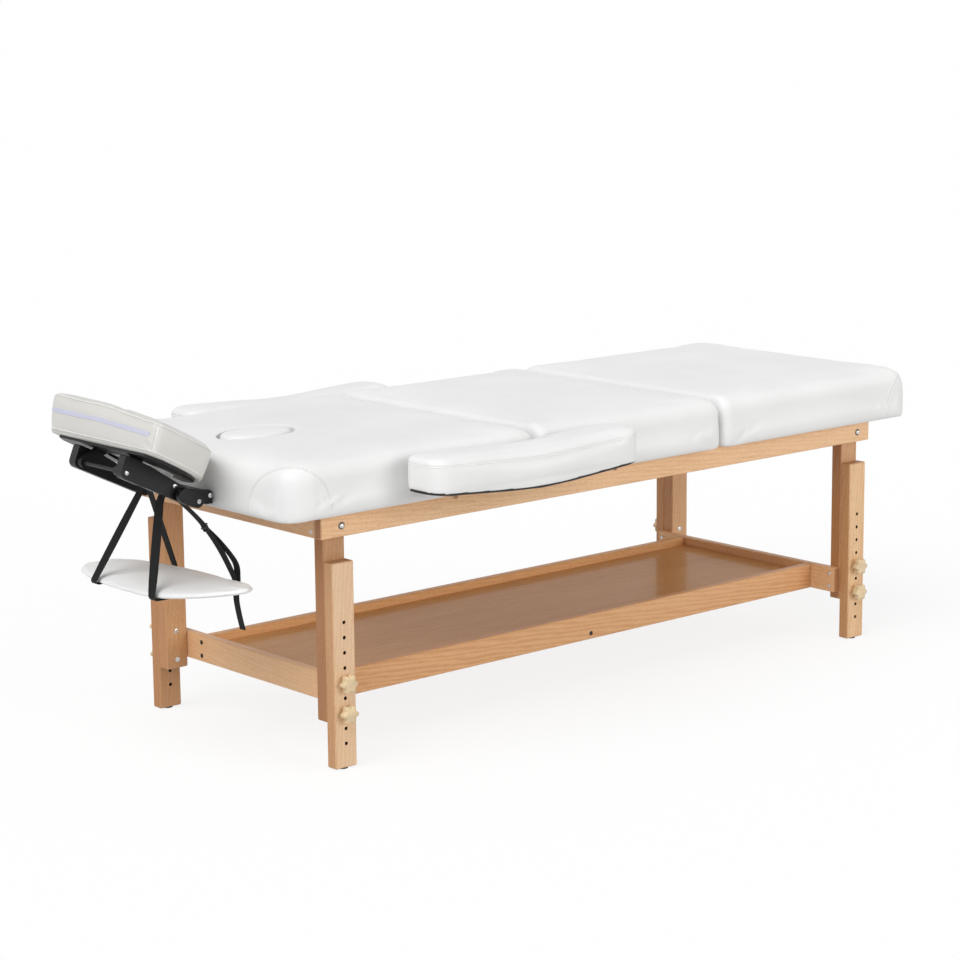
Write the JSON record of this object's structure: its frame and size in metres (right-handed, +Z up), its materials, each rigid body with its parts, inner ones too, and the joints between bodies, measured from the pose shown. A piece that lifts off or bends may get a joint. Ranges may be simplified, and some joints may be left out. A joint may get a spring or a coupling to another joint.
{
  "type": "massage table",
  "caption": "Stationary massage table: padded top in sections on a beech frame with a shelf, height-adjustable legs, plug-in armrests and a tilting face cradle with a hanging arm sling.",
  "frame": {"origin": "on the floor under the middle of the bounding box", "axes": "+X to the foot end, +Z up, front long side at -Y"},
  "size_m": [2.1062, 0.9446, 0.7513],
  "materials": {
    "beech": "clear satin lacquer",
    "shelf_beech": "clear gloss lacquer",
    "plywood": "raw plywood",
    "leather": "off-white synthetic leather over foam",
    "black_plastic": "satin black",
    "knob_plastic": "beige moulded",
    "webbing": "black webbing",
    "steel": "plated",
    "black_board": "board in black backing cloth"
  },
  "bodies": {
    "frame": {"side_rail_front": "beech", "side_rail_rear": "beech", "end_rail_head": "beech", "end_rail_foot": "beech", "post_front_head": "beech", "post_front_foot": "beech", "post_rear_head": "beech", "post_rear_foot": "beech", "stretcher_head": "beech", "stretcher_foot": "beech", "shelf_apron_front": "beech", "shelf_apron_rear": "beech", "shelf_panel": "shelf_beech", "head_base": "plywood", "middle_base": "plywood", "foot_base": "plywood", "head_pad": "leather", "middle_pad": "leather", "foot_pad": "leather"},
    "leg_front_head": {"leg_front_head": "beech", "glide_front_head": "black_plastic"},
    "knob_front_head_lower": {"knob_front_head_lower": "knob_plastic"},
    "knob_front_head_upper": {"knob_front_head_upper": "knob_plastic"},
    "leg_front_foot": {"leg_front_foot": "beech", "glide_front_foot": "black_plastic"},
    "knob_front_foot_lower": {"knob_front_foot_lower": "knob_plastic"},
    "knob_front_foot_upper": {"knob_front_foot_upper": "knob_plastic"},
    "leg_rear_head": {"leg_rear_head": "beech", "glide_rear_head": "black_plastic"},
    "knob_rear_head_lower": {"knob_rear_head_lower": "knob_plastic"},
    "knob_rear_head_upper": {"knob_rear_head_upper": "knob_plastic"},
    "leg_rear_foot": {"leg_rear_foot": "beech", "glide_rear_foot": "black_plastic"},
    "knob_rear_foot_lower": {"knob_rear_foot_lower": "knob_plastic"},
    "knob_rear_foot_upper": {"knob_rear_foot_upper": "knob_plastic"},
    "armrest_front": {"armrest_board_front": "black_board", "armrest_pad_front": "leather", "armrest_peg_front_head": "beech", "armrest_peg_front_foot": "beech"},
    "armrest_rear": {"armrest_board_rear": "black_board", "armrest_pad_rear": "leather", "armrest_peg_rear_head": "beech", "armrest_peg_rear_foot": "beech"},
    "face_plug": {"face_plug": "leather"},
    "cradle_base": {"cradle_base": "black_plastic", "cradle_rod_front": "steel", "cradle_rod_rear": "steel", "cradle_pivot_shaft": "steel"},
    "cam_lever": {"cam_lever": "black_plastic"},
    "cradle_arms": {"cradle_arm_front": "black_plastic", "cradle_arm_rear": "black_plastic", "cradle_tilt_pin": "steel", "sling_bar": "steel"},
    "cradle_platform": {"cradle_platform": "black_plastic", "face_cushion": "leather"},
    "arm_sling": {"sling_shelf": "leather", "sling_strap_front": "webbing", "sling_strap_rear": "webbing", "sling_buckle": "black_plastic"}
  },
  "joints": [
    {"name": "leg_front_head_slide", "type": "slide", "parent": "frame", "child": "leg_front_head", "axis": [0, 0, 1], "range_m": [-0.1264, 0.0316]},
    {"name": "knob_front_head_lower_turn", "type": "hinge", "parent": "leg_front_head", "child": "knob_front_head_lower", "pos_m": [-0.68659, -0.2978, 0.1172], "axis": [0, -1, 0], "continuous": true},
    {"name": "knob_front_head_upper_turn", "type": "hinge", "parent": "leg_front_head", "child": "knob_front_head_upper", "pos_m": [-0.68659, -0.2978, 0.1804], "axis": [0, -1, 0], "continuous": true},
    {"name": "leg_front_foot_slide", "type": "slide", "parent": "frame", "child": "leg_front_foot", "axis": [0, 0, 1], "range_m": [-0.1264, 0.0316]},
    {"name": "knob_front_foot_lower_turn", "type": "hinge", "parent": "leg_front_foot", "child": "knob_front_foot_lower", "pos_m": [0.87841, -0.2978, 0.1172], "axis": [0, -1, 0], "continuous": true},
    {"name": "knob_front_foot_upper_turn", "type": "hinge", "parent": "leg_front_foot", "child": "knob_front_foot_upper", "pos_m": [0.87841, -0.2978, 0.1804], "axis": [0, -1, 0], "continuous": true},
    {"name": "leg_rear_head_slide", "type": "slide", "parent": "frame", "child": "leg_rear_head", "axis": [0, 0, 1], "range_m": [-0.1264, 0.0316]},
    {"name": "knob_rear_head_lower_turn", "type": "hinge", "parent": "leg_rear_head", "child": "knob_rear_head_lower", "pos_m": [-0.68659, 0.2978, 0.1172], "axis": [0, 1, 0], "continuous": true},
    {"name": "knob_rear_head_upper_turn", "type": "hinge", "parent": "leg_rear_head", "child": "knob_rear_head_upper", "pos_m": [-0.68659, 0.2978, 0.1804], "axis": [0, 1, 0], "continuous": true},
    {"name": "leg_rear_foot_slide", "type": "slide", "parent": "frame", "child": "leg_rear_foot", "axis": [0, 0, 1], "range_m": [-0.1264, 0.0316]},
    {"name": "knob_rear_foot_lower_turn", "type": "hinge", "parent": "leg_rear_foot", "child": "knob_rear_foot_lower", "pos_m": [0.87841, 0.2978, 0.1172], "axis": [0, 1, 0], "continuous": true},
    {"name": "knob_rear_foot_upper_turn", "type": "hinge", "parent": "leg_rear_foot", "child": "knob_rear_foot_upper", "pos_m": [0.87841, 0.2978, 0.1804], "axis": [0, 1, 0], "continuous": true},
    {"name": "armrest_front_slide", "type": "slide", "parent": "frame", "child": "armrest_front", "axis": [0, -1, 0], "range_m": [0, 0.07]},
    {"name": "armrest_rear_slide", "type": "slide", "parent": "frame", "child": "armrest_rear", "axis": [0, 1, 0], "range_m": [0, 0.07]},
    {"name": "face_plug_lift", "type": "slide", "parent": "frame", "child": "face_plug", "axis": [0, 0, 1], "range_m": [0, 0.12]},
    {"name": "cradle_slide", "type": "slide", "parent": "frame", "child": "cradle_base", "axis": [-1, 0, 0], "range_m": [0, 0.06]},
    {"name": "cam_lever_turn", "type": "hinge", "parent": "cradle_base", "child": "cam_lever", "pos_m": [-0.88409, -0.106, 0.552], "axis": [0, 1, 0], "range_deg": [-90, 0]},
    {"name": "cradle_arm_hinge", "type": "hinge", "parent": "cradle_base", "child": "cradle_arms", "pos_m": [-0.88409, 0, 0.552], "axis": [0, 1, 0], "range_deg": [-24, 6]},
    {"name": "cradle_tilt_hinge", "type": "hinge", "parent": "cradle_arms", "child": "cradle_platform", "pos_m": [-1.03909, 0, 0.628], "axis": [0, 1, 0], "range_deg": [-40, 0]},
    {"name": "sling_swing", "type": "hinge", "parent": "cradle_arms", "child": "arm_sling", "pos_m": [-0.92609, 0, 0.57259], "axis": [0, 1, 0], "range_deg": [-5, 30]}
  ]
}
